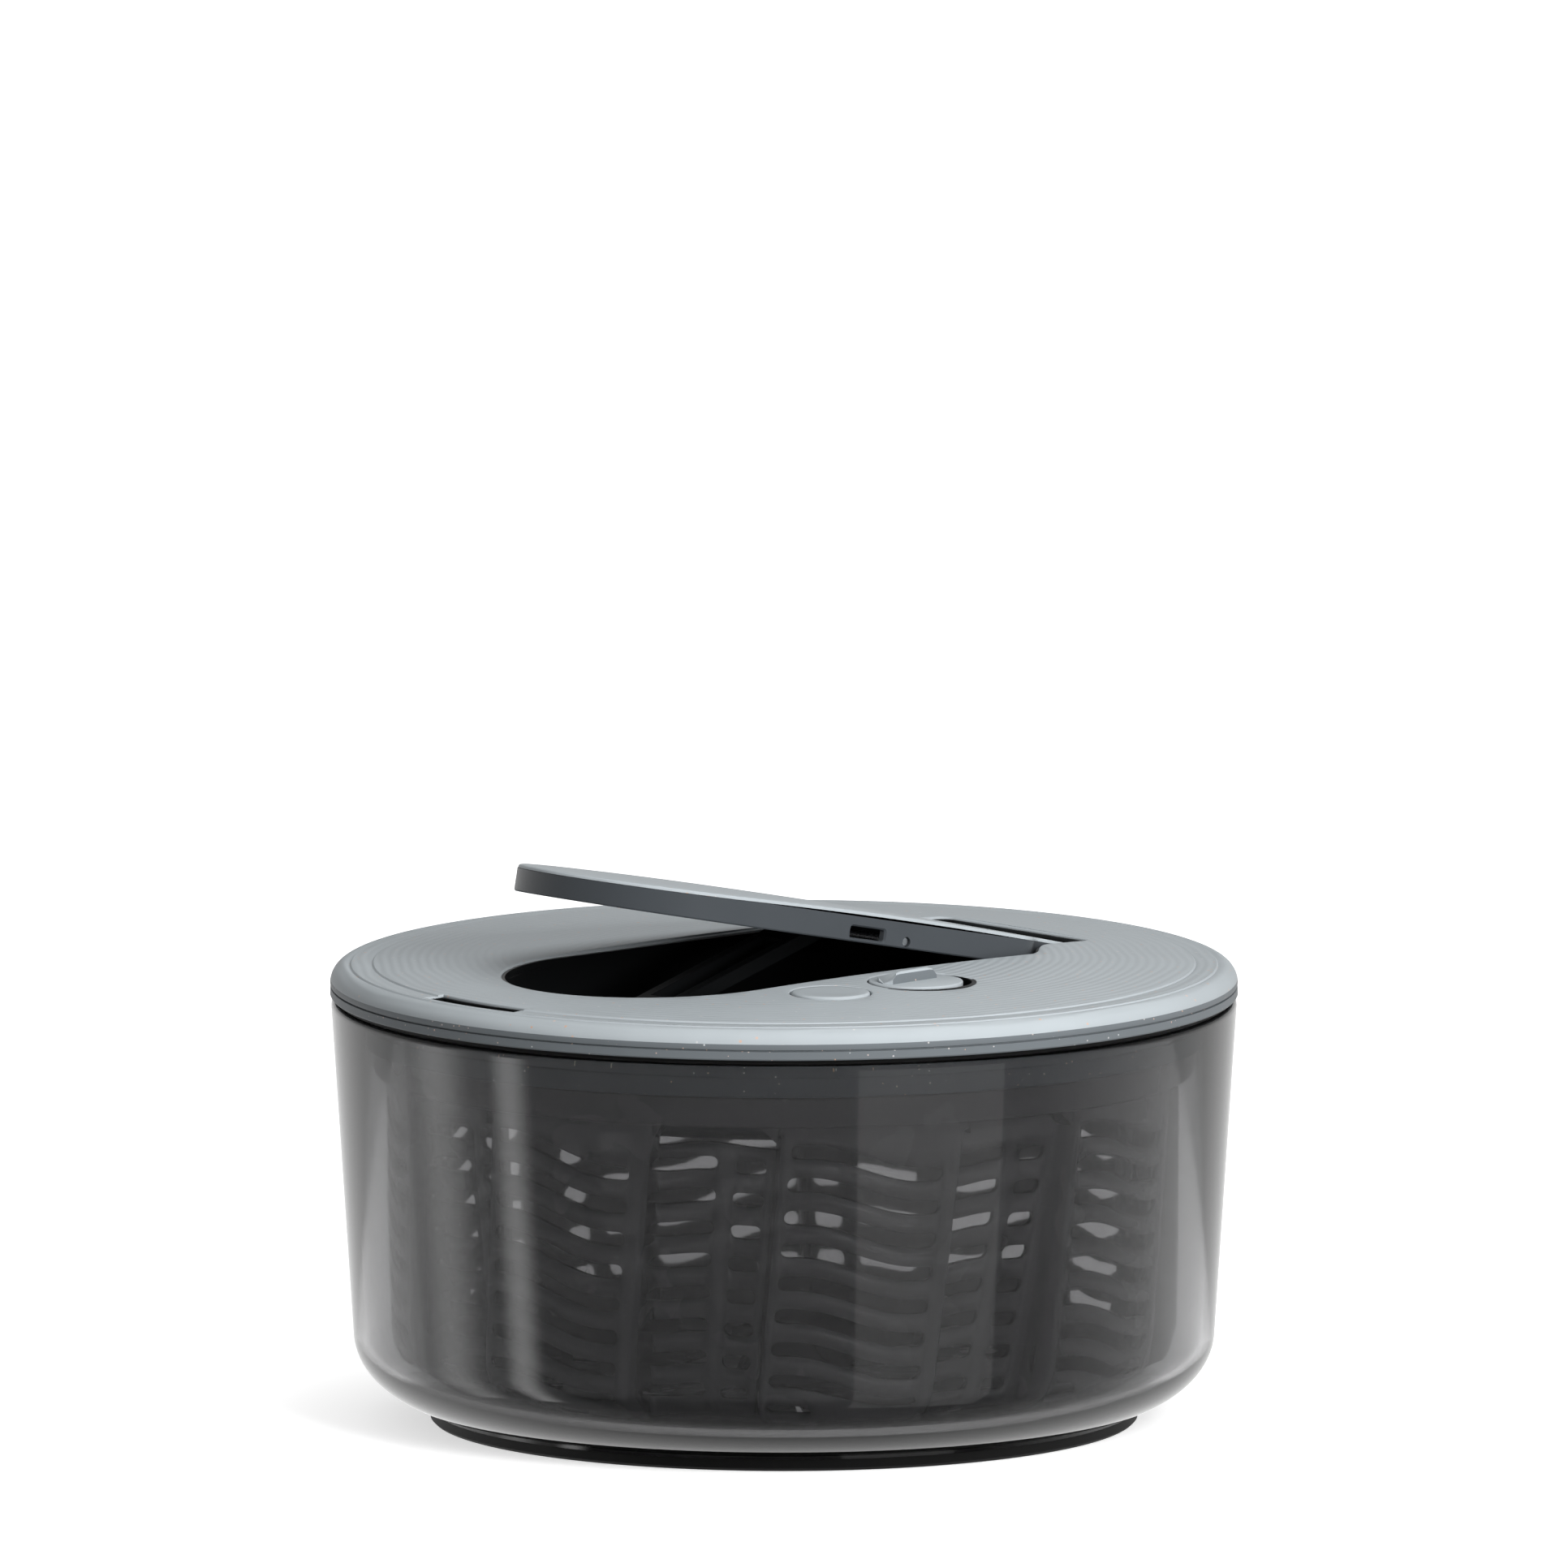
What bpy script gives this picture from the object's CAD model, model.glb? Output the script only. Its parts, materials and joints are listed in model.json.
"""Salad spinner: a smoke-clear bowl, a slotted basket, and a lid with a press lever, dressed for rendering.

Run as a script it builds every piece round the engineering frame. Lengths inside the mesh code are in
millimetres and are scaled to metres when a piece is finished; the sizes in the panel are in metres.
"""

import json
import math

import bmesh
import bpy
from bpy.props import FloatProperty, FloatVectorProperty, IntProperty, PointerProperty
from bpy.types import Operator, Panel, PropertyGroup
from mathutils import Matrix, Vector


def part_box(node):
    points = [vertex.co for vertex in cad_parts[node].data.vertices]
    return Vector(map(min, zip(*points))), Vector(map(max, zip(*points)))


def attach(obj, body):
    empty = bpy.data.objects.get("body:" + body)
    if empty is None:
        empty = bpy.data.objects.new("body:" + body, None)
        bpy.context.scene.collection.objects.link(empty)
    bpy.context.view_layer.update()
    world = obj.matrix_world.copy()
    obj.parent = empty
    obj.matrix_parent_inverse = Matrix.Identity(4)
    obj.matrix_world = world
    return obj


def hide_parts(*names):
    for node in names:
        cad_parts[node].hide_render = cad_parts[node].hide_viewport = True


bl_info = {
    "name": "Salad Spinner",
    "version": (1, 0, 0),
    "blender": (4, 5, 0),
    "location": "3D View > Sidebar > Spinner",
    "description": "Builds a lever-driven salad spinner round its engineering frame",
    "category": "Object",
}

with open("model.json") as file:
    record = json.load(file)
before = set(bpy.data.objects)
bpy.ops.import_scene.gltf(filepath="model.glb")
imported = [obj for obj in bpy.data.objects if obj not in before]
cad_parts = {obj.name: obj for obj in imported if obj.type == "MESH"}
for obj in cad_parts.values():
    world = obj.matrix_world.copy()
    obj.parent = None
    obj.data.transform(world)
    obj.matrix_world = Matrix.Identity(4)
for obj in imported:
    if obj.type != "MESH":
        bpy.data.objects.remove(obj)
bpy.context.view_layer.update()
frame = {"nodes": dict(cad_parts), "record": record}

MM = 0.001
DOUBLES = 0.002  # corners closer than this, in mm, are one
CROWN = 8.3  # rise of the lid's dome over its band, in mm


# ---- lengths taken from the frame ----
def low_high(node):
    """A node's lowest and highest corners, in mm."""
    low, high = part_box(node)
    return Vector(low) / MM, Vector(high) / MM


def in_mm(length):
    """A setting's length, in metres, in mm."""
    return length / MM


# ---- settings a user would change ----
def length(name, description, default):
    """A setting for a length, in metres."""
    return FloatProperty(name=name, description=description, default=default, unit="LENGTH", precision=4)


def angle(name, description, degrees):
    """A setting for an angle, with its default given in degrees."""
    return FloatProperty(name=name, description=description, default=math.radians(degrees), subtype="ANGLE")


def linear(hex_value):
    """An sRGB hex colour as linear red, green, blue and alpha."""
    channels = [int(hex_value[i:i + 2], 16) / 255 for i in (1, 3, 5)]
    bent = [c / 12.92 if c <= 0.04045 else ((c + 0.055) / 1.055) ** 2.4 for c in channels]
    return (*bent, 1.0)


def colour(name, description, hex_value):
    """A setting for a colour, with its default given as sRGB hex."""
    return FloatVectorProperty(
        name=name, description=description, subtype="COLOR", size=4, min=0, max=1, default=linear(hex_value)
    )


class BowlSizes(PropertyGroup):
    """Sizes of the clear bowl"""

    rim_radius: length("Rim radius", "Outside of the bowl's rim", 0.1324)
    wall: length("Wall", "Thickness of the bowl's wall", 0.0036)
    draft: angle("Draft", "How far the wall leans out", 3.8)
    corner_height: length("Corner height", "Where the wall starts to turn under", 0.026)
    corner_reach: length("Corner reach", "How far the turn runs inward", 0.031)
    floor_step: length("Floor step", "Height of each ring moulded in the floor", 0.00045)
    floor_rings: IntProperty(
        name="Floor rings", description="Rings moulded in the floor's edge", default=4, min=1
    )


class BasketSizes(PropertyGroup):
    """Sizes of the basket, its niches and its slots"""

    top_radius: length("Top radius", "Outside of the wall under the rim band", 0.1203)
    foot_radius: length("Foot radius", "Outside of the wall above its lower corner", 0.1156)
    wall: length("Wall", "Thickness of the basket's wall", 0.0022)
    niche_depth: length("Niche depth", "Depth of a wall niche at its head", 0.007)
    niche_lean: angle("Niche lean", "How far a niche's back leans in", 9)
    slot_height: length("Slot height", "Height of a wall slot", 0.0045)
    slot_pitch: length("Slot pitch", "Distance from one row of slots to the next", 0.00965)
    slot_fall: length("Slot fall", "How far a long slot drops along its length", 0.0078)
    rib_count: IntProperty(name="Ribs", description="Ribs inside the rim", default=45, min=9)


class LidSizes(PropertyGroup):
    """Sizes of the lid's cover"""

    crown: length("Crown", "Rise of the dome over the rim band", CROWN * MM)
    wall: length("Wall", "Thickness of the cover", 0.0026)
    edge_round: length("Edge rounding", "Rounding where an opening meets the dome", 0.0007)
    groove_width: length("Groove width", "Width of the two ring grooves near the edge", 0.0009)
    ripple: length("Ripple spacing", "Distance between the faint rings moulded in the dome", 0.0028)


class LeverSizes(PropertyGroup):
    """Sizes and rest angle of the lever"""

    raise_angle: angle("Raise", "How far the lever stands up at rest", 11.5)
    edge_round: length("Edge rounding", "Rounding of the lever's upper edge", 0.0008)
    skin: length("Skin", "Thickness of the light skin on top", 0.0010)


class Finishes(PropertyGroup):
    """Colours of the plastics"""

    bowl_tint: colour("Bowl tint", "Smoke tint of the clear bowl, through one wall", "#9b9b9c")
    basket_tint: colour("Basket", "Translucent smoke of the basket, where it faces out", "#757577")
    stone: colour("Stone", "Light grey of the cover, button, knob and lever top", "#aeb5b9")
    slate: colour("Slate", "Grey of the cover's band and the drive ring", "#6d7377")
    charcoal: colour("Charcoal", "Dark grey of the lever's side and the drum", "#44484c")
    black: colour("Black", "Black of the tray, arm and rack", "#121314")


class StageSettings(PropertyGroup):
    """Where the camera stands and what it takes in"""

    azimuth: angle("Camera azimuth", "Where the camera stands, round the object", -42)
    elevation: angle("Camera elevation", "How far the camera looks down", 8.3)
    target_height: length("Aim height", "Height of the point the camera looks at", 0.187)
    frame_width: length("Frame width", "Width of the picture at the object", 0.4578)
    distance: length("Camera distance", "From the camera to the axis of the spinner", 20)


# ---- mesh tools ----
def turned(points, steps=128, closed=False):
    """Turns a profile of (radius, height) points about Z; closed joins its last point to its first."""
    mesh = bmesh.new()
    corners = [mesh.verts.new((radius, 0, height)) for radius, height in points]
    edges = [mesh.edges.new(pair) for pair in zip(corners, corners[1:])]
    if closed:
        edges.append(mesh.edges.new((corners[-1], corners[0])))
    profile = corners + edges
    bmesh.ops.spin(
        mesh, geom=profile, cent=(0, 0, 0), axis=(0, 0, 1), angle=math.tau, steps=steps, use_merge=True
    )
    bmesh.ops.remove_doubles(mesh, verts=mesh.verts, dist=DOUBLES)
    bmesh.ops.recalc_face_normals(mesh, faces=mesh.faces)
    return mesh


def lofted(rings, mesh=None):
    """A closed skin through outlines that all have the same number of points."""
    if mesh is None:
        mesh = bmesh.new()
    loops = []
    for ring in rings:
        corners = [mesh.verts.new(point) for point in ring]
        loops.append([mesh.edges.new(pair) for pair in zip(corners, corners[1:] + corners[:1])])
    for lower, upper in zip(loops, loops[1:]):
        bmesh.ops.bridge_loops(mesh, edges=lower + upper)
    for loop in (loops[0], loops[-1]):
        bmesh.ops.contextual_create(mesh, geom=loop)
    bmesh.ops.recalc_face_normals(mesh, faces=mesh.faces)
    return mesh


def box(mesh, low, high, place=Matrix()):
    """Adds a box between two corners."""
    middle = [(a + b) / 2 for a, b in zip(low, high)]
    size = [b - a for a, b in zip(low, high)]
    matrix = place @ Matrix.Translation(middle) @ Matrix.Diagonal((*size, 1))
    bmesh.ops.create_cube(mesh, size=1, matrix=matrix)
    return mesh


def arc(centre, reach, start, stop, steps):
    """Points on an elliptical arc, with angles in degrees."""
    points = []
    for i in range(steps + 1):
        turn = math.radians(start + (stop - start) * i / steps)
        points.append((centre[0] + reach[0] * math.cos(turn), centre[1] + reach[1] * math.sin(turn)))
    return points


def smoothed(t):
    """An even S from 0 to 1."""
    t = min(1.0, max(0.0, t))
    return t * t * (3 - 2 * t)


def shifted(mesh, x, y):
    """Moves a mesh level from the axis."""
    bmesh.ops.translate(mesh, vec=(x, y, 0), verts=mesh.verts)
    return mesh


def placed(mesh, name):
    """Makes the mesh an object in the scene, and frees it."""
    data = bpy.data.meshes.new(name)
    mesh.to_mesh(data)
    mesh.free()
    thing = bpy.data.objects.new(name, data)
    bpy.context.collection.objects.link(thing)
    return thing


def carved(mesh, tools, operation="DIFFERENCE"):
    """Cuts the tools out of a solid, or joins them to it, and gives back the new solid."""
    base = placed(mesh, "loose")
    cutters = [placed(tool, "loose") for tool in tools]
    for cutter in cutters:
        cut = base.modifiers.new("cut", "BOOLEAN")
        cut.object = cutter
        cut.operation = operation
        cut.solver = "EXACT"
    graph = bpy.context.evaluated_depsgraph_get()
    data = bpy.data.meshes.new_from_object(base.evaluated_get(graph))
    result = bmesh.new()
    result.from_mesh(data)
    for thing in (base, *cutters):
        spare = thing.data
        bpy.data.objects.remove(thing)
        bpy.data.meshes.remove(spare)
    bpy.data.meshes.remove(data)
    return result


def finished(mesh, name, body, material, replaces=(), crease=35, bevel=0.0, recalculate=True):
    """Makes the piece an object in metres, with soft shading, its finish, its body and its CAD node."""
    if recalculate:
        bmesh.ops.recalc_face_normals(mesh, faces=mesh.faces)
    bmesh.ops.scale(mesh, vec=(MM, MM, MM), verts=mesh.verts)
    limit = math.radians(crease)
    for face in mesh.faces:
        face.smooth = True
    for edge in mesh.edges:
        edge.smooth = not edge.is_manifold or edge.calc_face_angle(0) < limit
    piece = placed(mesh, name)
    piece.data.materials.append(material)
    if bevel:
        rounding = piece.modifiers.new("edges", "BEVEL")
        rounding.width = bevel * MM
        rounding.segments = 2
        rounding.limit_method = "ANGLE"
        rounding.angle_limit = math.radians(40)
        rounding.harden_normals = True
    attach(piece, body)
    if replaces:
        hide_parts(*replaces)
    return piece


def merged_copy(node):
    """A CAD node's mesh as one merged solid in mm, with its flat faces joined up."""
    mesh = bmesh.new()
    mesh.from_mesh(frame["nodes"][node].data)
    bmesh.ops.scale(mesh, vec=(1 / MM,) * 3, verts=mesh.verts)
    bmesh.ops.remove_doubles(mesh, verts=mesh.verts, dist=DOUBLES)
    bmesh.ops.dissolve_limit(mesh, angle_limit=math.radians(1), verts=mesh.verts, edges=mesh.edges)
    return mesh


def body_of(node):
    """The body that a CAD node belongs to."""
    return next(name for name, nodes in frame["record"]["behaviour"]["bodies"].items() if node in nodes)


def slot_of(node):
    """The material slot of a CAD node."""
    return next(part["material_slot"] for part in frame["record"]["subparts"] if part["node"] == node)


def eased(node, material, bevel=0.25):
    """The CAD node's own shape with its edges eased, standing for it."""
    return finished(
        merged_copy(node), f"{node}_eased", body_of(node), material, (node,), bevel=bevel
    )


# ---- finishes ----
def add_node(tree, kind, inputs=None, **settings):
    """Adds a node with its settings, and feeds its sockets."""
    node = tree.nodes.new(kind)
    for name, value in settings.items():
        setattr(node, name, value)
    feed(tree, node, inputs or {})
    return node


def feed(tree, node, inputs):
    """Sets each named socket to a value, or links it to the socket that feeds it."""
    for name, value in inputs.items():
        if isinstance(value, bpy.types.NodeSocket):
            tree.links.new(value, node.inputs[name])
        else:
            node.inputs[name].default_value = value


def maths(tree, operation, *values, **settings):
    """A sum, product or other operation on numbers."""
    node = add_node(tree, "ShaderNodeMath", dict(enumerate(values)), operation=operation, **settings)
    return node.outputs[0]


def vector_maths(tree, operation, *values):
    """A number for a length, a distance or a dot product, and else a vector."""
    node = add_node(tree, "ShaderNodeVectorMath", dict(enumerate(values)), operation=operation)
    return node.outputs["Value" if operation in ("LENGTH", "DISTANCE", "DOT_PRODUCT") else "Vector"]


def ranged(tree, value, target, source=(0.0, 1.0)):
    """The value carried from the source range to the target range, and held at its ends."""
    ends = {"From Min": source[0], "From Max": source[1], "To Min": target[0], "To Max": target[1]}
    return add_node(tree, "ShaderNodeMapRange", {"Value": value, **ends}).outputs["Result"]


def blended(tree, share, first, second):
    """A mix of two numbers, by a share."""
    return add_node(tree, "ShaderNodeMix", {0: share, 2: first, 3: second}, data_type="FLOAT").outputs[0]


def mixed(tree, share, first, second, blend="MIX"):
    """A mix of two colours, by a share."""
    inputs = {"Factor": share, 6: first, 7: second}
    return add_node(tree, "ShaderNodeMix", inputs, data_type="RGBA", blend_type=blend).outputs[2]


def per_mm(size):
    """Texture scale, per metre, for a feature of this size in mm."""
    return 1 / (size * MM)


def noise(tree, place, size, detail):
    """A cloudy pattern whose features are of this size in mm."""
    inputs = {"Vector": place, "Scale": per_mm(size), "Detail": detail}
    return add_node(tree, "ShaderNodeTexNoise", inputs).outputs["Fac"]


def bumped(tree, height, strength, depth, below=None):
    """A normal for relief of a depth in mm, on top of the normal below."""
    inputs = {"Height": height, "Strength": strength, "Distance": depth * MM}
    if below is not None:
        inputs["Normal"] = below
    return add_node(tree, "ShaderNodeBump", inputs).outputs["Normal"]


def scaled(tint, share):
    """A colour made darker or lighter by a share."""
    return [min(1, c * share) for c in tint[:3]] + [1]


def from_axis(tree, place):
    """The level vector from the vertical axis to a place."""
    return vector_maths(tree, "MULTIPLY", place, (1, 1, 0))


def bare_tree(block):
    """The emptied node tree of a material or world."""
    block.use_nodes = True
    block.node_tree.nodes.clear()
    return block.node_tree


def blank_material(name):
    """A new material with its tree and shader, or the one that is there with neither."""
    material = bpy.data.materials.get(name)
    if material:
        return material, None, None
    material = bpy.data.materials.new(name)
    tree = bare_tree(material)
    shader = add_node(tree, "ShaderNodeBsdfPrincipled")
    add_node(tree, "ShaderNodeOutputMaterial", {"Surface": shader.outputs["BSDF"]})
    return material, tree, shader


FLECK_REACH = 0.12  # a fleck's radius, as a share of its cell
FLECK_MISSING = 0.4  # the share of cells with no fleck
FLECK_PEACH, FLECK_PALE = linear("#c9a48c"), linear("#c4c8ca")
RIPPLE_WANDER = 0.006  # how far the rings stray from true circles, in metres
RIPPLE_DEPTH = 0.06


def moulded(name, tint, roughness, grain=0.6, depth=0.02, flecks=0.0, ripple=0.0):
    """Injection-moulded ABS: a fine spark-eroded grain that spreads each highlight.

    flecks adds a sprinkle of pale and peach specks, ripple the faint rings moulded in the dome.
    """
    material, tree, shader = blank_material(name)
    if tree is None:
        return material
    place = add_node(tree, "ShaderNodeTexCoord").outputs["Object"]
    cloud = noise(tree, place, 14, 3.0)
    shade = mixed(tree, cloud, scaled(tint, 0.95), scaled(tint, 1.05))
    if flecks:
        cells = add_node(tree, "ShaderNodeTexVoronoi", {"Vector": place, "Scale": per_mm(flecks)})
        pick = add_node(tree, "ShaderNodeSeparateColor", {"Color": cells.outputs["Color"]})
        near = maths(tree, "LESS_THAN", cells.outputs["Distance"], FLECK_REACH)
        chosen = maths(tree, "GREATER_THAN", pick.outputs["Red"], FLECK_MISSING)
        fleck = mixed(tree, pick.outputs["Green"], FLECK_PEACH, FLECK_PALE)
        shade = mixed(tree, maths(tree, "MULTIPLY", near, chosen), shade, fleck)
    bump = bumped(tree, noise(tree, place, grain, 2.0), 0.5, depth)
    if ripple:
        out = vector_maths(tree, "LENGTH", from_axis(tree, place))
        bent = maths(tree, "MULTIPLY_ADD", noise(tree, place, 45, 1.0), RIPPLE_WANDER, out)
        wave = maths(tree, "SINE", maths(tree, "MULTIPLY", bent, math.tau / ripple))
        bump = bumped(tree, wave, 0.8, RIPPLE_DEPTH, bump)
    sheen = ranged(tree, cloud, (roughness - 0.04, roughness + 0.05))
    feed(tree, shader, {"Base Color": shade, "Roughness": sheen, "IOR": 1.46, "Normal": bump})
    return material


FLOOR_CLEARER = 2.0  # how much lighter the tint of the thin floor is than that of the walls


def clear_smoke_acrylic(tint):
    """Polished smoke-clear acrylic: the tint deepens with each wall, and the thin floor stays lighter."""
    material, tree, shader = blank_material("clear smoke acrylic")
    if tree is None:
        return material
    place = add_node(tree, "ShaderNodeTexCoord").outputs["Object"]
    flow = noise(tree, place, 60, 1.5)
    wall = mixed(tree, flow, scaled(tint, 0.97), scaled(tint, 1.03))
    out = vector_maths(tree, "LENGTH", from_axis(tree, place))
    height = add_node(tree, "ShaderNodeSeparateXYZ", {0: place}).outputs["Z"]
    within = ranged(tree, out, (1.0, 0.0), (0.084, 0.096))
    low = ranged(tree, height, (1.0, 0.0), (0.008, 0.010))
    thin = maths(tree, "MULTIPLY", within, low)
    feed(tree, shader, {
        "Base Color": mixed(tree, thin, wall, scaled(tint, FLOOR_CLEARER)),
        "Roughness": ranged(tree, flow, (0.015, 0.05)),
        "IOR": 1.49,
        "Transmission Weight": 1.0,
        "Normal": bumped(tree, flow, 0.2, 0.12),
    })
    return material


def smoke_polypropylene(tint):
    """Thin smoke polypropylene: light where it faces out, nearly black within, and see-through."""
    material, tree, shader = blank_material("smoke polypropylene")
    if tree is None:
        return material
    coords = add_node(tree, "ShaderNodeTexCoord")
    place = coords.outputs["Object"]
    cloud = noise(tree, place, 22, 2.0)
    outward = vector_maths(tree, "NORMALIZE", from_axis(tree, place))
    facing = vector_maths(tree, "DOT_PRODUCT", outward, coords.outputs["Normal"])
    side = ranged(tree, facing, (0.0, 1.0), (-0.3, 0.3))
    shade = mixed(tree, side, scaled(tint, 0.1), tint)
    tone = mixed(tree, cloud, (0.9, 0.9, 0.9, 1), (1.1, 1.1, 1.1, 1))
    feed(tree, shader, {
        "Base Color": mixed(tree, 1.0, shade, tone, "MULTIPLY"),
        "Roughness": ranged(tree, cloud, (0.2, 0.32)),
        "IOR": 1.49,
        "Alpha": 0.74,
        "Normal": bumped(tree, noise(tree, place, 1.2, 2.0), 0.2, 0.01),
    })
    return material


def moulded_rubber():
    """Moulded silicone rubber: a dull black that catches a soft edge."""
    return moulded("moulded rubber", linear("#141414"), 0.72, grain=0.4, depth=0.03)


def natural_acetal():
    """Machined natural acetal: a waxy white with a low even sheen."""
    return moulded("natural acetal", linear("#e0ddd4"), 0.38, grain=0.9, depth=0.01)


def drawn_steel():
    """Drawn steel pin stock and wire: bright metal with fine lines along it."""
    material, tree, shader = blank_material("drawn steel")
    if tree is None:
        return material
    place = add_node(tree, "ShaderNodeTexCoord").outputs["Object"]
    wear = ranged(tree, noise(tree, place, 0.5, 3.0), (0.2, 0.38))
    feed(tree, shader, {"Base Color": linear("#c4c6c9"), "Metallic": 1.0, "Roughness": wear})
    return material


def stone_abs():
    """Light stone ABS of the dome and the lever: faint rings and a few flecks on a soft sheen."""
    scene = bpy.context.scene
    ripple = scene.spinner_lid.ripple
    return moulded("stone ABS, rippled", scene.spinner_finishes.stone, 0.5, ripple=ripple, flecks=3.6)


def plain_stone_abs():
    """Light stone ABS of the button and the knob, with no rings."""
    return moulded("stone ABS", bpy.context.scene.spinner_finishes.stone, 0.48)


def slate_abs():
    """Mid grey ABS with a sprinkle of flecks."""
    return moulded("slate ABS", bpy.context.scene.spinner_finishes.slate, 0.5, flecks=2.2)


def charcoal_abs():
    """Dark grey ABS with a soft sheen along its edges."""
    return moulded("charcoal ABS", bpy.context.scene.spinner_finishes.charcoal, 0.42)


def black_abs():
    """Black ABS that shows little but its highlights."""
    return moulded("black ABS", bpy.context.scene.spinner_finishes.black, 0.4)


# ---- shared shapes of the lid ----
BAND_HEIGHT = 5.2
SEAT_GAP = 0.3  # between the bowl's rim and the cover's band
BAND_BOTTOM = low_high("bowl")[1].z + SEAT_GAP
BAND_TOP = BAND_BOTTOM + BAND_HEIGHT
COVER_RADIUS = low_high("lid_cover")[1].x
SEAL_TOP = BAND_BOTTOM + 1.3
DOME_RIM = COVER_RADIUS - 5.3
DOME_DROP = 3.2  # from the middle to the dome's rim

# The well seen from above: a wide round end, and a neck that reaches to the hinge.
WELL_HALF = 43.8
WELL_CENTRE_X = 38.1 - COVER_RADIUS + WELL_HALF
NECK_END = COVER_RADIUS - 41.3
NECK_START = NECK_END - 16.3
SHOULDER = NECK_START - 19
NECK_HALF = 31.0
NECK_CORNER = 4.0
HINGE_X = NECK_END - 11.3


def dome(x, y, crown=CROWN):
    """Height of the cover's top over a point."""
    return BAND_TOP + crown - DOME_DROP * (x * x + y * y) / DOME_RIM**2


HINGE_Z = dome(HINGE_X, 0) - 5.4


def well_outline(offset=0.0, relief=0.0):
    """The well seen from above: a round end, straight sides, S-shaped shoulders and a narrower neck."""
    half = WELL_HALF + offset
    neck = NECK_HALF + offset
    end = NECK_END + offset - relief
    shoulder = SHOULDER - relief
    start = NECK_START - relief
    round_end = arc((WELL_CENTRE_X, 0), (half, half), 90, 270, 36)
    slope = []
    for i in range(13):
        share = i / 12
        slope.append((shoulder + (start - shoulder) * share, half + (neck - half) * smoothed(share)))
    turn = arc((end - NECK_CORNER, neck - NECK_CORNER), (NECK_CORNER, NECK_CORNER), 0, 90, 6)
    lower = [(x, -y) for x, y in slope + turn[::-1]]
    upper = turn + slope[::-1]
    return round_end + lower + upper


def circle_outline(x, y, radius, steps=48):
    """A circle seen from above."""
    return arc((x, y), (radius, radius), 0, 360, steps)[:-1]


def level(outline, z):
    """An outline laid flat at a height."""
    return [(x, y, z) for x, y in outline]


def on_dome(outline, rise):
    """An outline laid on the dome, and lifted by a rise."""
    return [(x, y, dome(x, y) + rise) for x, y in outline]


def flared_tool(outline, rounding):
    """A cutter whose mouth widens in a small arc where it leaves the dome; outline takes an offset."""
    rings = [level(outline(0), BAND_BOTTOM - 4)]
    for share in (0.0, 0.35, 0.7, 1.0):
        turn = share * math.pi / 2
        rings.append(on_dome(outline(rounding * (1 - math.cos(turn))), -rounding * (1 - math.sin(turn))))
    rings.append(on_dome(outline(rounding), 9))
    return lofted(rings)


# ---- bowl ----
FOOT_TOP = 3.4  # the rubber foot's top, sunk in the bowl's underside
FOOT_RADIUS = 103.4
FOOT_INNER = 84.0
CONTACT = 0.1  # how far the foot's top and side reach into the bowl, so that no air lies between
FLOOR_TOP = 7.2
FLOOR_UNDER = 2.2
CONE_RADIUS = 14.2


def bowl_profile(sizes):
    """Round the bowl's section: its underside, outside, rim, inside and the stepped edge of its floor."""
    rim = in_mm(sizes.rim_radius)
    wall = in_mm(sizes.wall)
    corner = in_mm(sizes.corner_height)
    reach = in_mm(sizes.corner_reach)
    step = in_mm(sizes.floor_step)
    top = low_high("bowl")[1].z
    centre = (rim - (top - corner) * math.tan(sizes.draft) - reach, corner)
    seat = FOOT_RADIUS - CONTACT
    under = FOOT_TOP - CONTACT
    hole = CONE_RADIUS - CONTACT
    start = -math.degrees(math.acos((seat - centre[0]) / reach))
    ring = FOOT_INNER + CONTACT
    profile = [(hole, FLOOR_UNDER), (ring, FLOOR_UNDER), (ring, under), (seat, under)]
    profile += arc(centre, (reach, corner - 3.5), start, 0, 14)
    profile += [(rim - 0.12, top - 1.6)] + arc((rim - 1.3, top - 1.3), (1.2, 1.3), 20, 90, 3)
    profile += arc((rim - wall + 1.2, top - 1.2), (1.2, 1.2), 90, 180, 3)
    inner = (reach - wall, corner - FLOOR_TOP - step * sizes.floor_rings)
    profile += arc(centre, inner, 0, -90, 12)
    for i in range(sizes.floor_rings):
        edge = centre[0] - 1 - 3.6 * i
        height = FLOOR_TOP + step * (sizes.floor_rings - i)
        profile += [(edge, height), (edge - 0.5, height - step)]
    return profile + [(20, FLOOR_TOP), (hole, FLOOR_TOP)]


def pivot_profile():
    """The hollow cone that the basket turns on."""
    hollow = [(0, 17.6), (3.4, 14.4), (5.2, 10.8), (7.8, 6.2), (11.6, FLOOR_UNDER)]
    edge = [(CONE_RADIUS, FLOOR_UNDER), (CONE_RADIUS, 7.3)]
    cone = [(11.8, 8.1), (9.8, 9.6), (8.3, 12.0), (6.8, 15.0), (5.2, 18.0), (3.8, 20.2)]
    return hollow + edge + cone + [(2.3, 21.4), (0, 21.7)]


def foot_profile():
    """The rubber ring, with a shallow groove round its sole."""
    sole = [(FOOT_INNER, 0.3), (84.3, 0), (89, 0), (89.6, 0.6), (91.4, 0.6), (92, 0)]
    return sole + [
        (FOOT_RADIUS - 0.8, 0), (FOOT_RADIUS, 0.8), (FOOT_RADIUS, FOOT_TOP), (FOOT_INNER, FOOT_TOP),
    ]


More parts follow.
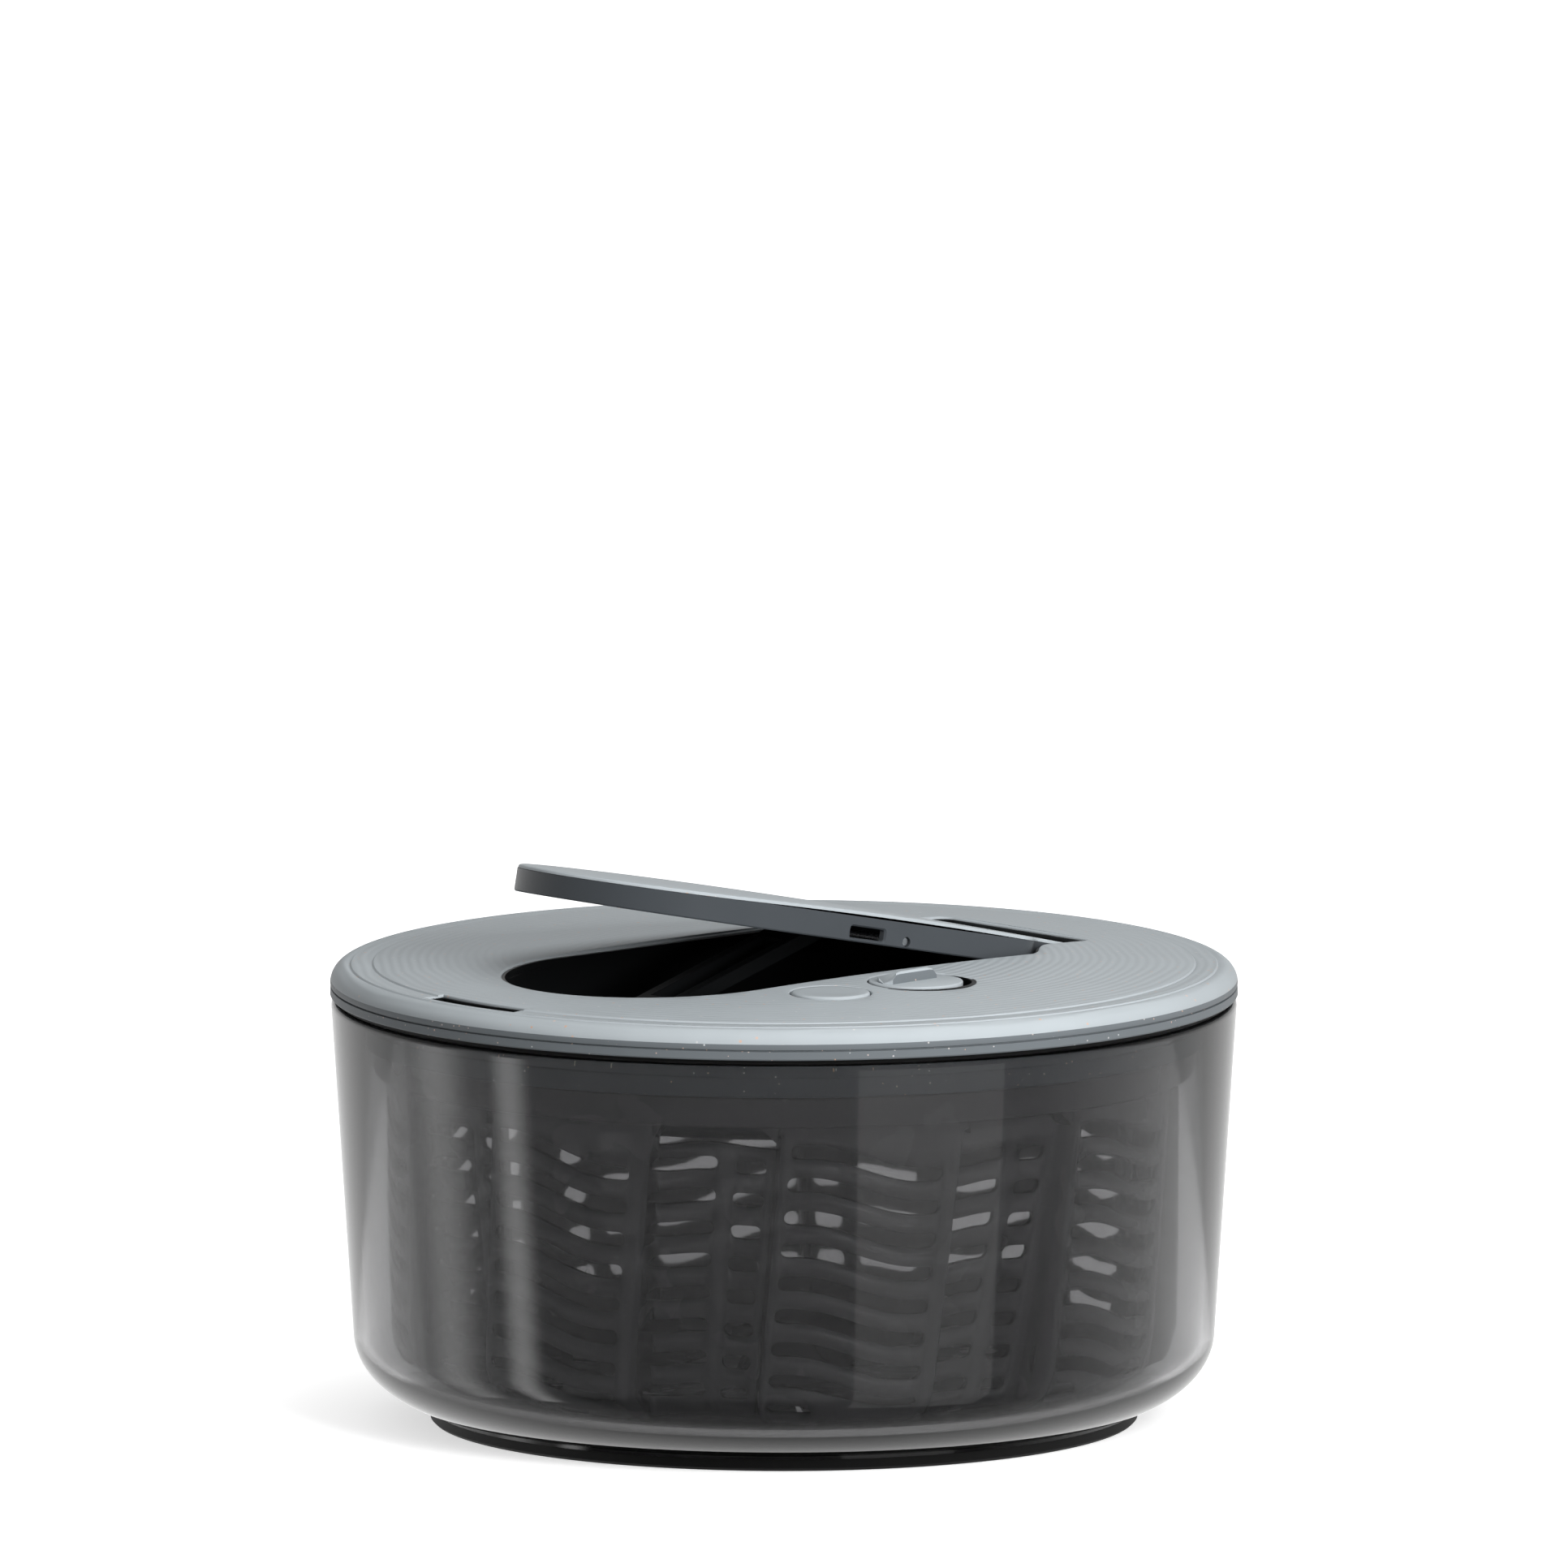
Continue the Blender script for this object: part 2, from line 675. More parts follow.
class SPINNER_OT_bowl(Operator):
    """Make the clear bowl and its rubber foot"""

    bl_idname = "spinner.bowl"
    bl_label = "Bowl"

    def execute(self, context):
        scene = context.scene
        shell = turned(bowl_profile(scene.spinner_bowl), steps=160, closed=True)
        material = clear_smoke_acrylic(scene.spinner_finishes.bowl_tint)
        finished(shell, "bowl_shell", "base", material, ("bowl",), crease=50)
        cone = turned(pivot_profile(), steps=64)
        finished(cone, "pivot_cone", "base", black_abs(), crease=50)
        ring = turned(foot_profile(), closed=True)
        finished(ring, "foot_ring_smooth", "base", moulded_rubber(), ("foot_ring",))
        return {"FINISHED"}


# ---- basket ----
NICHES = 8
FIRST_NICHE = 39.0  # in degrees round the axis
PERIOD = 360 / NICHES
FIRST_TAB = 26.7  # of the drive ring, in degrees
RIBS_PAST_TABS = 4
SLOT_ROWS = 9
LEAN = 0.1  # sideways step of the pattern per mm of height
NICHE_HALF = 18.3
NICHE_WALL = 2.8
NICHE_FOOT_RISE = 9.0  # height of the turn at the foot of a niche's back
NICHE_FOOT_REACH = 12.8
# Slots and floor slots along one period, in mm along the wall from a niche's middle.
LONG_SLOT = (-19.2, 0.4)
SHORT_SLOT = (5.6, 15.9)
PANEL_SLOT = (22.5, 69.6)
LAST_SLOT = (22.5, 37.1)
FLOOR_SLOTS = ((-14.2, -9.5), (9.5, 14.2), (32.5, 37.5), (56.5, 61.5))
WINDOW_TOP = 9.6  # below the basket's top
WINDOW_HEIGHT = 8.0
SHEET_TOP = 7.9  # where the wall starts, below the basket's top
FIRST_ROW = 17.2  # the middle of the uppermost slots, below the basket's top
CORNER_RISE = 21.0  # height of the wall's round lower corner
CORNER_REACH = 20.6  # how far that corner turns in
COLUMN_STEP = 3.1
WINDOW_LINE = 3  # counted down from the wall's top; the opening is below the line
FIRST_SLOT_LINE = 5
FLOOR_SLOT_LINES = 4
# Heights of the wall's last lines over its bottom.
LAST_RISES = (2.4, 1.1, 0.35, 0.0)
# Radius and height of the lines across the floor and up the hub.
FLOOR_LINES = [(84.0, 0.0), (72.0, 0.0), (59.0, 0.0), (46.0, 0.0), (34.0, 0.0), (20.0, 0.0), (13.4, 0.0)]
HUB_LINES = [(12.3, 1.6), (11.0, 4.4), (9.0, 7.1), (7.0, 10.4), (5.2, 13.1), (3.0, 14.7), (1.2, 15.3)]


def turned_in(share):
    """How far a quarter circle has turned in, at a share of its run."""
    return 1 - math.sqrt(max(0.0, 1 - min(1.0, share) ** 2))


def slot_places(span, round_end):
    """Places of the grid's columns along a slot: close together round each end, even between."""
    start, stop = span
    ends = [round_end * share for share in (0.04, 0.2, 0.5, 1.0)]
    run = stop - start - 2 * round_end
    count = round(run / COLUMN_STEP)
    even = [start + round_end + run * i / count for i in range(1, count)]
    return [start + x for x in ends] + even + [stop - x for x in reversed(ends)]


def open_share(place, span, round_end):
    """How much of a slot's height is open at a place, so that the slot has round ends."""
    start, stop = span
    inward = min(place - start, stop - place) / round_end
    if inward <= 0:
        return None
    return math.sqrt(1 - max(0.0, 1 - inward) ** 2)


class BasketWall:
    """Places each crossing of the wall's grid: columns run round, lines run from the rim to the hub."""

    def __init__(self, sizes):
        low, high = low_high("basket")
        self.bottom, self.top = low.z, high.z
        self.radius = in_mm(sizes.top_radius)
        self.foot = in_mm(sizes.foot_radius)
        self.pitch = in_mm(sizes.slot_pitch)
        self.height = in_mm(sizes.slot_height)
        self.fall = in_mm(sizes.slot_fall)
        self.depth = in_mm(sizes.niche_depth)
        self.lean = math.tan(sizes.niche_lean)
        self.corner = self.bottom + CORNER_RISE
        self.head = self.top - WINDOW_TOP
        end = self.height / 2
        edge = NICHE_HALF + NICHE_WALL
        self.places = [-edge, -edge + 0.8]
        self.places += slot_places(LONG_SLOT, end) + [3.0] + slot_places(SHORT_SLOT, end)
        self.places += [NICHE_HALF - 1.2, NICHE_HALF - 0.2, NICHE_HALF + 0.4, edge - 1.8, edge - 1.0, edge]
        self.places += slot_places(PANEL_SLOT, end) + [71.6]

    def wall_radius(self, z):
        """The wall leans in towards its foot, and turns under in a round corner."""
        if z >= self.corner:
            share = (z - self.corner) / (self.top - self.corner)
            return self.foot + (self.radius - self.foot) * share
        return self.foot - CORNER_REACH * turned_in((self.corner - z) / CORNER_RISE)

    def niche_plane(self, z):
        """Distance of a niche's back from the axis: it leans in, and turns under at its foot."""
        turn = self.bottom + NICHE_FOOT_RISE
        plane = self.radius - self.depth - self.lean * (self.head - max(z, turn))
        if z < turn:
            plane -= NICHE_FOOT_REACH * turned_in((turn - z) / NICHE_FOOT_RISE)
        return plane

    def slot_middle(self, place, row):
        """Height of a slot row: it falls in an S along a panel slot, and rises a little in a niche."""
        start = self.top - FIRST_ROW - row * self.pitch
        if place >= PANEL_SLOT[0] - 1:
            t = (place - PANEL_SLOT[0]) / (PANEL_SLOT[1] - PANEL_SLOT[0])
            return start - self.fall * smoothed((t - 0.12) / 0.76)
        if place > NICHE_HALF - 1:
            return start - 6.4 * (1 - smoothed((place - NICHE_HALF + 1) / 4))
        if place > 3:
            return start - 6.1 - 0.03 * (place - 3)
        return start - 6.2 + smoothed((place + 17) / 13)

    def window_edges(self, place):
        """Heights of the head and the waved sill of the opening at a niche's top."""
        head = self.head
        left, right = -12.6, 10.2  # where the head starts to turn down
        if place < left:
            head -= 6.6 * turned_in((left - place) / 5.7)
        if place > right:
            head -= 6.0 * min(1.0, (place - right) / 8.1) ** 1.3
        wave = 1.2 * smoothed((place + 18.3) / 14) - 1.6 * smoothed((place + 4) / 20)
        return head, self.head - WINDOW_HEIGHT + wave

    def lines(self, place):
        """Heights down one column, each with the share of the niche's depth there."""
        start = (self.top - SHEET_TOP, 0.0)
        if abs(place) > NICHE_HALF:
            gap = (self.head - self.slot_middle(place, 0) - self.height / 2) / 5
            heights = [start] + [(self.head - gap * i, 0.0 if i < 2 else 1.0) for i in range(4)]
        else:
            head, sill = self.window_edges(place)
            heights = [start, (head + 0.9, 0.0), (head + 0.3, 0.5), (head, 1.0), (sill, 1.0)]
        for row in range(SLOT_ROWS):
            middle = self.slot_middle(place, row)
            share = 0.5
            for span in self.slots(row):
                share = open_share(place, span, self.height / 2) or share
            half = self.height / 2 * share
            heights += [(middle + half, 1.0), (middle - half, 1.0)]
        last = heights[-1][0]
        for i, rise in enumerate(LAST_RISES):
            height = min(self.bottom + rise, last - 0.5 * (i + 1))
            heights.append((max(self.bottom, height), 1.0))
        return heights

    def slots(self, row):
        """Spans of the slots in a row; the lowest row has one short slot."""
        return (LAST_SLOT,) if row == SLOT_ROWS - 1 else (LONG_SLOT, SHORT_SLOT, PANEL_SLOT)

    def crossing(self, period, place, height, share):
        """Where a column and a line cross, and the turn there; share says how deep the niche is."""
        lean = LEAN * (max(height, self.corner - 12) - self.top)
        middle = math.radians(FIRST_NICHE + PERIOD * period) + lean / self.radius
        turn = middle + place / self.radius
        radius = self.wall_radius(height)
        depth = share * (1 - smoothed((abs(place) - NICHE_HALF + 0.4) / NICHE_WALL))
        if depth > 0:
            back = min(radius, self.niche_plane(height) / math.cos(turn - middle))
            radius += (back - radius) * depth
        return Vector((radius * math.cos(turn), radius * math.sin(turn), height)), turn

    def is_open(self, period, left, right, line, upright):
        """Whether the cell between two neighbouring columns and below a line is an opening."""
        middle = (left + right) / 2
        if line == WINDOW_LINE:
            return period % 2 == 0 and abs(middle) < NICHE_HALF
        if FIRST_SLOT_LINE <= line < upright - len(LAST_RISES) and line % 2 == 1:
            return any(a < middle < b for a, b in self.slots((line - FIRST_SLOT_LINE) // 2))
        if upright <= line < upright + FLOOR_SLOT_LINES:
            return any(a < middle < b for a, b in FLOOR_SLOTS)
        return False


def basket_wall(sizes):
    """The basket's whole skin from under the rim to the hub, with its slots open, as one sheet."""
    wall = BasketWall(sizes)
    inward = FLOOR_LINES + HUB_LINES
    edges = wall.places + [wall.places[0] + math.radians(PERIOD) * wall.radius]
    per_period = len(wall.places)
    around = NICHES * per_period
    columns = [wall.lines(place) for place in wall.places]
    upright = len(columns[0])
    down = upright + len(inward)
    mesh = bmesh.new()
    bmesh.ops.create_grid(mesh, x_segments=around, y_segments=down - 1, size=0.5)
    shut = []
    for face in mesh.faces:
        centre = face.calc_center_median()
        column = math.floor((centre.x + 0.5) * around)
        line = math.floor((centre.y + 0.5) * (down - 1))
        period, first = divmod(column, per_period)
        if wall.is_open(period, edges[first], edges[first + 1], line, upright):
            shut.append(face)
    for corner in mesh.verts:
        column = round((corner.co.x + 0.5) * around) % around
        line = round((corner.co.y + 0.5) * (down - 1))
        period, first = divmod(column, per_period)
        place = wall.places[first]
        if line < upright:
            corner.co, _ = wall.crossing(period, place, *columns[first][line])
        else:
            radius, rise = inward[line - upright]
            _, turn = wall.crossing(period, place, wall.bottom, 1.0)
            corner.co = (radius * math.cos(turn), radius * math.sin(turn), wall.bottom + rise)
    bmesh.ops.delete(mesh, geom=shut, context="FACES")
    bmesh.ops.remove_doubles(mesh, verts=mesh.verts, dist=0.01)
    return mesh


def basket_rim(sizes):
    """The band round the basket's mouth, with the ribs that the lid's tabs push against."""
    top = low_high("basket")[1].z
    ledge = top - 7.5
    foot = top - 9.2
    radius = in_mm(sizes.top_radius)
    mouth = radius - in_mm(sizes.wall) - 0.1
    band = [
        (mouth, foot + 0.6), (radius - 0.2, foot - 0.3), (radius + 3.4, foot), (radius + 3.9, foot + 0.5),
        (radius + 4.1, top - 0.5), (radius + 3.7, top), (radius + 1.9, top), (radius + 1.4, top - 0.5),
        (radius + 1.4, ledge + 0.5), (radius + 0.9, ledge), (mouth, ledge),
    ]
    mesh = turned(band, steps=160, closed=True)
    for i in range(sizes.rib_count):
        turn = Matrix.Rotation(math.radians(FIRST_TAB + RIBS_PAST_TABS + i * 360 / sizes.rib_count), 4, "Z")
        box(mesh, (radius - 0.6, -1.5, ledge - 0.2), (radius + 1.7, 1.5, top - 0.9), turn)
    return mesh


class SPINNER_OT_basket(Operator):
    """Make the slotted basket with its rim band"""

    bl_idname = "spinner.basket"
    bl_label = "Basket"

    def execute(self, context):
        sizes = context.scene.spinner_basket
        material = smoke_polypropylene(context.scene.spinner_finishes.basket_tint)
        mesh = basket_wall(sizes)
        piece = finished(
            mesh, "basket_wall", "basket", material, ("basket",), crease=60
        )
        wall = piece.modifiers.new("wall", "SOLIDIFY")
        wall.thickness = sizes.wall
        wall.offset = -1
        wall.use_even_offset = False
        rim = basket_rim(sizes)
        finished(rim, "basket_rim", "basket", material, crease=30, bevel=0.25)
        return {"FINISHED"}


# ---- lid ----
BRAKE = (-38.5, -63.0)
BRAKE_RADIUS = 11.5
KNOB = (-6.0, -64.0)
KNOB_RADIUS = 13.8
RECESS = (KNOB[0] + 0.9, KNOB[1] - 0.8)
RECESS_RADIUS = 15.4
RECESS_FLOOR = dome(*KNOB) - 3.4
CUP_WALL = 1.4
DRAIN_RADIUS = COVER_RADIUS - 11.1
DRAIN_HALF_LENGTH = 18.0
DRAIN_HALF_WIDTH = 2.3
FIRST_GROOVE = 120.8
COVER_INSIDE = 124
LINER = 1.0  # thickness of the well's dark lining
FIN_HEIGHT = 3.4
FIN_HALF = 10.6
FIN_REACH = 11.0


def drain_outline(offset=0.0):
    """The rinse slot seen from above: a long opening with square ends that follows the lid's edge."""
    sweep = (DRAIN_HALF_LENGTH + offset) / DRAIN_RADIUS
    width = DRAIN_HALF_WIDTH + offset
    points = []
    for radius, start in ((DRAIN_RADIUS + width, -sweep), (DRAIN_RADIUS - width, sweep)):
        turns = [math.pi + start - 2 * start * i / 12 for i in range(13)]
        points += [(radius * math.cos(t), radius * math.sin(t)) for t in turns]
    return points


def cover_profile(sizes):
    """Outside of the cover with its two ring grooves, then back along the underside."""
    crown = in_mm(sizes.crown)
    groove = in_mm(sizes.groove_width)
    wall = in_mm(sizes.wall)
    top = [(r, dome(r, 0, crown)) for r in (0, 12, 24, 36, 48, 60, 70, 80, 90, 98, 106, 113)]
    for radius in (FIRST_GROOVE, DOME_RIM):
        z = dome(radius, 0, crown)
        top += [(radius - groove, z), (radius - groove / 2, z - 0.45), (radius + groove * 0.3, z - 0.25)]
    edge = arc((COVER_RADIUS - 5.1, BAND_TOP - 0.4), (5.1, 5.4), 84, 4, 9)
    for inset, drop in ((0.1, 0.8), (0.8, 0.9), (0.8, 1.2), (0.1, 1.4)):
        edge.append((COVER_RADIUS - inset, BAND_TOP - drop))
    edge += [(COVER_RADIUS, SEAL_TOP + 0.4), (COVER_RADIUS - 0.3, SEAL_TOP)]
    edge += [(128.6, SEAL_TOP), (COVER_INSIDE, SEAL_TOP)]
    inside = [(r, dome(r, 0, crown) - wall) for r in (COVER_INSIDE, 110, 95, 80, 60, 40, 20, 0)]
    return top + edge + inside


def well_liner():
    """The dark wall that lines the well, from the tray up to just under the dome's edge."""
    foot = low_high("well_tray")[0].z + 2
    outer, inner = well_outline(LINER - 0.1), well_outline()
    wall = lofted([level(outer, foot), on_dome(outer, -0.7)])
    hole = lofted([level(inner, foot - 1), on_dome(inner, -0.7), on_dome(inner, 3)])
    low = (KNOB[0] - 15.5, -WELL_HALF - 4, HINGE_Z - 1.8)
    high = (KNOB[0] + 3, -WELL_HALF + 5, HINGE_Z + 1.8)
    latch_way = box(bmesh.new(), low, high)
    return carved(wall, [hole, latch_way])


def slot_lining():
    """A dark sleeve in the rinse slot, from the cover's underside up to just under its top."""
    outer, inner = drain_outline(0.9), drain_outline()
    sleeve = lofted([level(outer, SEAL_TOP - 1), on_dome(outer, -0.8)])
    hole = lofted([level(inner, SEAL_TOP - 3), on_dome(inner, 3)])
    return carved(sleeve, [hole])


def cup(spot, floor, hole, radius, depth):
    """A dark cup under a round opening of the cover; its floor is whole, or has a hole."""
    outside = radius + CUP_WALL
    under = floor - CUP_WALL
    inside = [(hole, floor), (radius, floor), (radius, floor + depth)]
    profile = inside + [(outside, floor + depth), (outside, under), (hole, under)]
    return shifted(turned(profile, steps=48, closed=hole > 0), *spot)


def cover(sizes):
    """The lid's shell, open over the well, the rinse slot, the button and the knob."""
    tools = [
        flared_tool(lambda offset: well_outline(LINER + offset), in_mm(sizes.edge_round)),
        flared_tool(lambda offset: drain_outline(0.8 + offset), 0.6),
        flared_tool(lambda offset: circle_outline(*BRAKE, BRAKE_RADIUS + 0.5 + offset), 0.5),
        flared_tool(lambda offset: circle_outline(*RECESS, RECESS_RADIUS + offset), 0.5),
    ]
    return carved(turned(cover_profile(sizes), steps=160), tools)


def seal_profile():
    """The gasket's ring, with the lip that shows between the bowl and the cover."""
    low, high = low_high("lid_gasket")
    outer = high.x
    lip = COVER_RADIUS - 1.6
    return [
        (outer - 3.3, low.z), (outer - 0.4, low.z), (outer, low.z + 0.4), (outer, BAND_BOTTOM),
        (lip - 0.4, BAND_BOTTOM), (lip, BAND_BOTTOM + 0.3), (lip, SEAL_TOP - 0.05),
        (outer - 3.3, SEAL_TOP - 0.05),
    ]


def second_finish(piece, material, chosen):
    """Gives the chosen faces of a finished piece another material."""
    piece.data.materials.append(material)
    for face in piece.data.polygons:
        if chosen(face):
            face.material_index = 1


def on_band(face):
    """Whether a face is on the cover's outer band."""
    low = face.center.z < (BAND_TOP + 0.4) * MM
    return low and math.hypot(face.center.x, face.center.y) > (COVER_RADIUS - 4) * MM


class SPINNER_OT_lid(Operator):
    """Make the lid's cover, seal and tray"""

    bl_idname = "spinner.lid"
    bl_label = "Lid cover"

    def execute(self, context):
        black = black_abs()
        shell = cover(context.scene.spinner_lid)
        piece = finished(
            shell, "cover_shell", "lid", stone_abs(), ("lid_cover",),
            crease=28, recalculate=False,
        )
        second_finish(piece, slate_abs(), on_band)
        linings = {
            "well_liner": well_liner(),
            "drain_lining": slot_lining(),
            "knob_recess": cup(RECESS, RECESS_FLOOR, 0, 15.2, 3.2),
            "button_cup": cup(BRAKE, dome(*BRAKE) - 9, 7, 12.2, 7),
        }
        for name, mesh in linings.items():
            finished(mesh, name, "lid", black, crease=40)
        ring = turned(seal_profile(), closed=True)
        finished(ring, "seal_ring", "lid", moulded_rubber(), ("lid_gasket",))
        for node in ("well_tray", "gear_plate"):
            eased(node, black, bevel=0.3)
        return {"FINISHED"}


def brake_button():
    """The button's slightly dished head, on a stem that is thinner at its foot."""
    foot = low_high("brake_button")[0].z
    top = dome(*BRAKE) + 0.35
    profile = [(0, foot), (2.5, foot), (2.5, top - 13), (3.5, top - 13), (3.5, top - 2.4)]
    profile += [(BRAKE_RADIUS - 0.2, top - 2.4), (BRAKE_RADIUS, top - 2.2)]
    profile += arc((BRAKE_RADIUS - 0.8, top - 0.8), (0.8, 0.8), 0, 90, 4)
    profile += [(BRAKE_RADIUS - 3, top - 0.1), (5, top - 0.25), (0, top - 0.3)]
    return shifted(turned(profile, steps=72), *BRAKE)


def knob_fin(top):
    """The knob's thumb fin: an upright face across the disc, and a ramp down to the disc's back edge."""
    rings = []
    for share, inset in ((-0.5, 0.0), (0.55, 0.0), (0.8, 0.15), (0.93, 0.45), (1.0, 0.9)):
        front = -1.2 + inset
        half = FIN_HALF - inset
        across = [half * (1 - i / 8) for i in range(17)]
        reach = FIN_REACH - inset
        back = [(x, front + reach * math.sqrt(max(0.0, 1 - (x / (half + 0.3)) ** 2))) for x in across]
        outline = back + [(x, front) for x in reversed(across[1:-1])]
        ring = []
        for x, y in outline:
            shoulder = smoothed((half + 0.4 - abs(x)) / 3.6)
            slope = 1 - smoothed((y - front - 1.5) / 10.5)
            ring.append((x, y, top + (FIN_HEIGHT * share * shoulder * slope if share > 0 else share)))
        rings.append(ring)
    return lofted(rings)


def lock_knob(top):
    """The knob's disc with its fin and stem, turned a little as it rests."""
    foot = low_high("lock_knob")[0].z
    rim = KNOB_RADIUS - 0.5
    disc = [(0, top - 1.6), (rim + 0.3, top - 1.6), (rim + 0.5, top - 1.4)]
    disc += arc((rim, top - 0.5), (0.5, 0.5), 0, 90, 3) + [(0, top)]
    knob = carved(turned(disc, steps=72), [shifted(knob_fin(top), -1.6, 0)], "UNION")
    stem = turned([(0, foot), (3.8, foot), (3.8, top - 1), (0, top - 1)], steps=32)
    knob = carved(knob, [stem], "UNION")
    turn = Matrix.Rotation(math.radians(4.5), 3, "Z")
    bmesh.ops.rotate(knob, cent=(0, 0, 0), matrix=turn, verts=knob.verts)
    return shifted(knob, *KNOB)


class SPINNER_OT_controls(Operator):
    """Make the brake button, and the lock knob with its latch"""

    bl_idname = "spinner.controls"
    bl_label = "Button and knob"

    def execute(self, context):
        stone = plain_stone_abs()
        finished(
            brake_button(), "brake_button_smooth", "brake", stone, ("brake_button",)
        )
        top = dome(*KNOB) + 0.3
        piece = finished(
            lock_knob(top), "lock_knob_smooth", "lock", stone, ("lock_knob",), crease=30
        )

        def on_fin(face):
            upright = face.normal.y < -0.9 and face.center.z > (top + 0.1) * MM
            return upright and face.area > 0.5 * MM * MM

        second_finish(piece, slate_abs(), on_fin)
        eased("lock_latch", charcoal_abs())
        eased("brake_pad", moulded_rubber())
        return {"FINISHED"}


# ---- lever ----
def raised(mesh, context):
    """Turns a lever piece, drawn shut, up to where the lever rests."""
    lift = Matrix.Rotation(context.scene.spinner_lever.raise_angle, 3, "Y")
    bmesh.ops.rotate(mesh, cent=(HINGE_X, 0, HINGE_Z), matrix=lift, verts=mesh.verts)
    return mesh


def split(mesh, place, normal):
    """Cuts every face along a plane, so that a flat face can bend."""
    geometry = mesh.verts[:] + mesh.edges[:] + mesh.faces[:]
    bmesh.ops.bisect_plane(mesh, geom=geometry, plane_co=place, plane_no=normal)


LEVER_GAP = 0.7  # between the lever and the well's edge
LEVER_RELIEF = 1.5  # cut off the lever's hinge end, so that it can lift
LEVER_DEPTH = 8.2
ARM_PIN = (HINGE_X - 72, HINGE_Z - 0.85)
ARM_BORE = 1.5
HINGE_BORE = 1.8
CATCH_LEFT, CATCH_RIGHT = HINGE_X - 94.4, HINGE_X - 80.8
CATCH_HALF = 1.7
CATCH_CORNER = 0.7
WEB_SIDE = 13  # from the lever's middle to the webs beside the arm


def lever_outline(inset=0.0):
    """The lever seen from above: the well's outline, smaller by its gap and cut off at the hinge."""
    return well_outline(-LEVER_GAP - inset, LEVER_RELIEF)


def lever_skin(context):
    """The lever's light top: a thin skin that carries on the line of the dome."""
    sizes = context.scene.spinner_lever
    rounding = in_mm(sizes.edge_round)
    rings = [level(lever_outline(0.2), -in_mm(sizes.skin))]
    for turn in (0, 30, 60, 90):
        inset = rounding * (1 - math.cos(math.radians(turn)))
        sink = rounding * (1 - math.sin(math.radians(turn)))
        rings.append(level(lever_outline(0.2 + inset), -sink))
    mesh = lofted(rings)
    for x in range(-90, 95, 9):
        split(mesh, (x, 0, 0), (1, 0, 0))
    for y in range(-36, 40, 12):
        split(mesh, (0, y, 0), (0, 1, 0))
    for corner in mesh.verts:
        corner.co.z += dome(corner.co.x, corner.co.y)
    return raised(mesh, context)


def rod(x, z, radius, reach):
    """A round bar across the lid."""
    mesh = bmesh.new()
    place = Matrix.Translation((x, 0, z)) @ Matrix.Rotation(math.pi / 2, 4, "X")
    bmesh.ops.create_cone(
        mesh, cap_ends=True, segments=32, radius1=radius, radius2=radius, depth=2 * reach, matrix=place
    )
    return mesh


def lever_shell(context):
    """The lever's dark body: a hollow tray upside down, with the catch window and the bores of two pins."""
    bottom = dome(HINGE_X, 0) - LEVER_DEPTH
    roof = in_mm(context.scene.spinner_lever.skin) + 0.1
    top = on_dome(lever_outline(), -roof)
    outer = lofted([level(lever_outline(0.4), bottom), level(lever_outline(), bottom + 0.4), top])
    hollow = lofted([level(lever_outline(2.4), bottom - 3), on_dome(lever_outline(2.4), -roof - 1.2)])
    body = carved(outer, [hollow])
    face = -WELL_HALF + LEVER_GAP
    window = lofted([catch_frame(face + y, grow) for y, grow in ((6, 0.0), (0.6, 0.0), (-0.4, 0.8))])
    body = carved(body, [window, rod(*ARM_PIN, ARM_BORE, 50), rod(HINGE_X, HINGE_Z, HINGE_BORE, 50)])
    return raised(body, context)


def catch_frame(y, grow, steps=4):
    """The catch window's rounded outline, standing across the lever's side about the hinge's height."""
    points = []
    spots = ((CATCH_RIGHT, 1, 0), (CATCH_LEFT, 1, 90), (CATCH_LEFT, -1, 180), (CATCH_RIGHT, -1, 270))
    for x, above, start in spots:
        middle_x = x + (CATCH_CORNER if x == CATCH_LEFT else -CATCH_CORNER)
        middle_z = HINGE_Z + above * (CATCH_HALF - CATCH_CORNER)
        for i in range(steps + 1):
            turn = math.radians(start + 90 * i / steps)
            reach = CATCH_CORNER + grow
            points.append((middle_x + reach * math.cos(turn), y, middle_z + reach * math.sin(turn)))
    return points


def lever_ribs(context):
    """The webs inside the lever: two along it beside the arm, and four pairs across."""
    bottom = dome(HINGE_X, 0) - LEVER_DEPTH
    roof = dome(HINGE_X, 0) - in_mm(context.scene.spinner_lever.skin) - 1.6
    ribs = bmesh.new()
    for side in (-1, 1):
        middle = side * WEB_SIDE
        box(ribs, (-83, middle - 1, bottom + 1.6), (HINGE_X - 8, middle + 1, roof))
    for x in (-72, -40, 26, 54):
        past = max(0.0, WELL_CENTRE_X - x)
        end = min(math.sqrt(WELL_HALF**2 - past**2), WELL_HALF) - 2.6
        if x > SHOULDER:
            end = NECK_HALF
        for side in (-1, 1):
            inner, outer = sorted((side * WEB_SIDE, side * end))
            box(ribs, (x - 1, inner, bottom + 2.4), (x + 1, outer, roof))
    return raised(ribs, context)


class SPINNER_OT_lever(Operator):
    """Make the lever's skin and body, raised for a stroke"""

    bl_idname = "spinner.lever"
    bl_label = "Lever"

    def execute(self, context):
        skin = lever_skin(context)
        finished(skin, "lever_skin", "lever", stone_abs(), ("lever_top",), crease=25)
        charcoal = charcoal_abs()
        body = lever_shell(context)
        finished(body, "lever_body", "lever", charcoal, ("lever_frame",), crease=30)
        finished(lever_ribs(context), "lever_ribs", "lever", charcoal, crease=30)
        eased("drive_arm", black_abs(), bevel=0.5)
        eased("drive_rack", black_abs())
        return {"FINISHED"}


